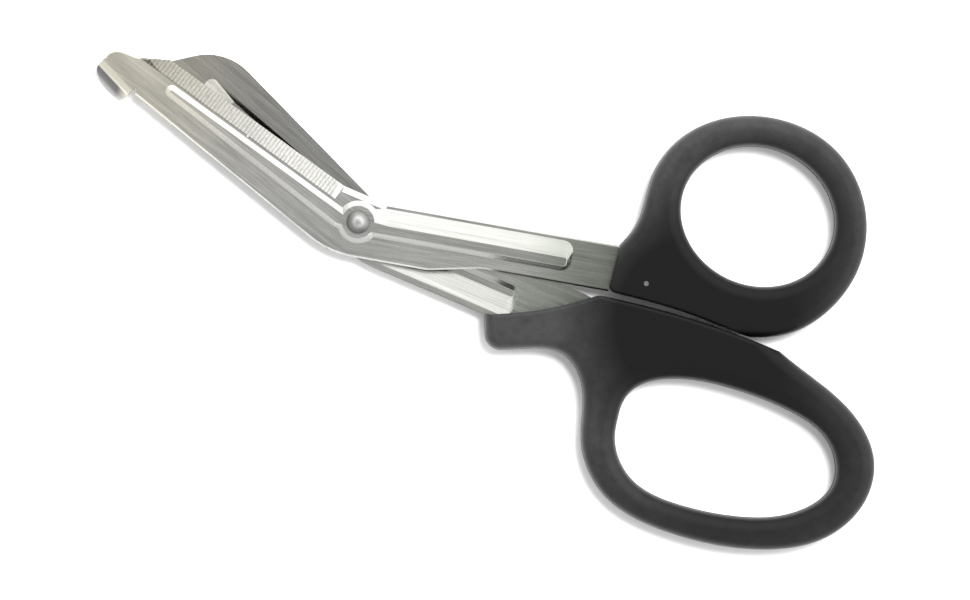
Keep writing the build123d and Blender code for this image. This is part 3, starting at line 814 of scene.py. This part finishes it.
# %% [markdown]
# ## Gate mark
#
# Plastic enters the mould through a small gate, and breaks off there with a little round scar.
# The photograph shows it as a light dot on the thumb handle, close to the blade: torn plastic
# is paler than the moulded skin. A dot of colour would look painted on, so the scar is turned
# from a short profile, as on a lathe, with a raised lip and a hollow in its middle.

# %% Shape of the gate mark
GATE_RADIUS = 0.55 * MM
GATE_HEIGHT = 0.05 * MM
GATE_SIDES = 32
GATE_PROFILE = [(0.45, 0.3), (0.7, 1.0), (0.85, 0.9), (1.0, -0.5)]     # shares outwards and up


def gate_scar(place):
    """The scar as a closed mesh, with its middle at that place."""
    scar = bmesh.new()
    angles = [math.tau * step / GATE_SIDES for step in range(GATE_SIDES)]
    rings = []
    for share_out, share_up in GATE_PROFILE:
        reach = share_out * GATE_RADIUS
        height = share_up * GATE_HEIGHT
        spots = [(reach * math.cos(angle), reach * math.sin(angle), height) for angle in angles]
        rings.append([scar.verts.new(spot) for spot in spots])
    scar.faces.new(rings[0])
    for inner, outer in zip(rings, rings[1:]):
        for step in range(GATE_SIDES):
            after = (step + 1) % GATE_SIDES
            scar.faces.new((inner[step], outer[step], outer[after], inner[after]))
    scar.faces.new(list(reversed(rings[-1])))
    bmesh.ops.translate(scar, verts=scar.verts, vec=place)
    mesh = bpy.data.meshes.new("gate_mark")
    scar.to_mesh(mesh)
    scar.free()
    return mesh


# %% [markdown]
# The scar is torn, not moulded, so its surface is paler, rougher and uneven. One fine noise
# gives its tone, its gloss and its relief.

# %% Torn plastic
TORN = {"Scale": 6000.0, "Detail": 3.0}
TORN_TONES = [(0.3, (0.04, 0.04, 0.04, 1.0)), (0.65, (0.11, 0.11, 0.11, 1.0))]
TORN_VALUES = (0.2, 0.8)
TORN_ROUGHNESS = (0.4, 0.7)
TORN_DEPTH = 0.03 * MM
TORN_STRENGTH = 0.5


def torn_plastic():
    """Black plastic torn open: pale, rough and uneven."""
    material, tree, shader = new_material("torn_black_plastic")
    torn = noise(tree, object_coordinates(tree), **TORN)
    join(tree, colour_ramp(tree, torn, TORN_TONES), shader.inputs["Base Color"])
    join(tree, spread(tree, torn, TORN_VALUES, TORN_ROUGHNESS), shader.inputs["Roughness"])
    join(tree, relief(tree, torn, TORN_DEPTH, TORN_STRENGTH), shader.inputs["Normal"])
    return material


# %% [markdown]
# The scar sits on the handle's flat top and moves with the thumb half.

# %% Gate mark on the thumb handle
GATE_PLACE = Vector((60.5, 12.2, 0.0)) * MM      # from the pivot

gate_place = pivot + GATE_PLACE
gate_place.z = cad_high[2]
gate_mesh = gate_scar(gate_place)
smooth(gate_mesh)
gate_mesh.materials.append(torn_plastic())
gate = placed("gate_mark", gate_mesh)
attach(gate, "thumb_half")
print(gate.name, "faces:", len(gate_mesh.polygons))

# %% [markdown]
# ## Table
#
# The scissors lie on a plain white table. It is a little uneven, like card, because a perfectly
# even white looks like an empty page.

# %% Table
TABLE_SIZE = 3.0
FIBRES = {"Scale": 400.0, "Detail": 4.0}
CARD_TONES = [(0.0, (0.91, 0.91, 0.91, 1.0)), (1.0, (0.95, 0.95, 0.95, 1.0))]
CARD_ROUGHNESS = 0.7
CARD_GLOSS = 0.2

bpy.ops.mesh.primitive_plane_add(size=TABLE_SIZE)
table = bpy.context.object
table.name = "table"
table_material, tree, shader = new_material("white_card")
fibres = noise(tree, object_coordinates(tree), **FIBRES)
join(tree, colour_ramp(tree, fibres, CARD_TONES), shader.inputs["Base Color"])
shader.inputs["Roughness"].default_value = CARD_ROUGHNESS
shader.inputs["Specular IOR Level"].default_value = CARD_GLOSS
table.data.materials.append(table_material)
print("table, metres:", TABLE_SIZE)

# %% [markdown]
# ## Sky
#
# Polished steel shows what it faces: the slopes face the bright sides of the room and look
# white, while every flat face shows the dimmer ceiling. Large panels could stand round the table
# as in a studio, but a sky is simpler and never shows its edges in the steel. It is dim
# overhead, bright beyond the thumb ring and middling on the other side.

# %% Sky
OVERHEAD = 0.42                        # strength straight above, where the camera is
DIM_SIDE = 0.9                         # strength of the room below the picture
BRIGHT_SIDE = 1.95                     # strength of the window above the picture
CEILING_ANGLES = (26.0, 8.0)           # degrees from straight up, where the ceiling takes over
WALL_REACH = (-0.25, 0.4)              # where the dim side turns into the bright one
light_side = Vector((0.37, 0.93, 0.0))

world = bpy.data.worlds.new("studio")
bpy.context.scene.world = world
world.use_nodes = True
tree = world.node_tree
background = tree.nodes["Background"]
direction = add_node(tree, "ShaderNodeTexCoord").outputs["Generated"]
ceiling_heights = [math.cos(math.radians(angle)) for angle in CEILING_ANGLES]
ceiling = spread(tree, component(tree, direction, "Z"), ceiling_heights)
towards_light = vector_maths(tree, "DOT_PRODUCT", direction, light_side)
walls = spread(tree, towards_light, WALL_REACH, (DIM_SIDE, BRIGHT_SIDE))
join(tree, blend(tree, ceiling, walls, OVERHEAD), background.inputs["Strength"])
background.inputs["Color"].default_value = (1.0, 1.0, 1.0, 1.0)
print("sky, dim and bright side:", DIM_SIDE, BRIGHT_SIDE)

# %% [markdown]
# ## Lamp
#
# One large soft lamp on the bright side gives the short, soft shadows. It is hidden from
# reflections, because the steel mirrors the sky and needs no second bright spot.

# %% Lamp
LAMP_SIZE = 0.3
LAMP_POWER = 14.0
LAMP_DISTANCE = 1.1
LAMP_TILT = math.radians(19.0)         # from straight above

lamp_data = bpy.data.lights.new("soft_lamp", "AREA")
lamp_data.size = LAMP_SIZE
lamp_data.energy = LAMP_POWER
lamp = placed("soft_lamp", lamp_data)
lamp.location = light_side * (LAMP_DISTANCE * math.sin(LAMP_TILT))
lamp.location.z = LAMP_DISTANCE * math.cos(LAMP_TILT)
lamp.rotation_mode = "QUATERNION"
lamp.rotation_quaternion = lamp.location.to_track_quat("Z", "Y")
lamp.visible_glossy = False
print("lamp at:", [round(x, 3) for x in lamp.location])

# %% [markdown]
# ## Camera
#
# The photograph was taken from straight above with the scissors turned, so the camera hangs over
# the middle of the part and is turned instead. It is far enough away for the rings to show no
# perspective, and its lens is worked out from what the picture takes in.

# %% Camera
PICTURE_TURN = math.radians(23.5)      # how far the scissors are turned in the picture
PICTURE_WIDTH = 205 * MM               # what the picture takes in, at the table
CAMERA_HEIGHT = 0.9
SENSOR = 36.0                          # in millimetres, like the lens

camera_data = bpy.data.cameras.new("camera")
camera_data.sensor_width = SENSOR
camera_data.lens = SENSOR * CAMERA_HEIGHT / PICTURE_WIDTH
camera = placed("camera", camera_data)
camera.rotation_euler = (0.0, 0.0, PICTURE_TURN)
across = Vector((math.cos(PICTURE_TURN), math.sin(PICTURE_TURN), 0.0))
upwards = Vector((-math.sin(PICTURE_TURN), math.cos(PICTURE_TURN), 0.0))
corners = [part.matrix_world @ v.co for part in nodes.values() for v in part.data.vertices]
camera.location = (0.0, 0.0, CAMERA_HEIGHT)
for way in (across, upwards):
    reaches = [corner.dot(way) for corner in corners]
    camera.location += way * (min(reaches) + max(reaches)) / 2
    print("picture span, mm:", round((max(reaches) - min(reaches)) / MM, 1))
bpy.context.scene.camera = camera
bpy.context.scene.view_settings.view_transform = "Standard"
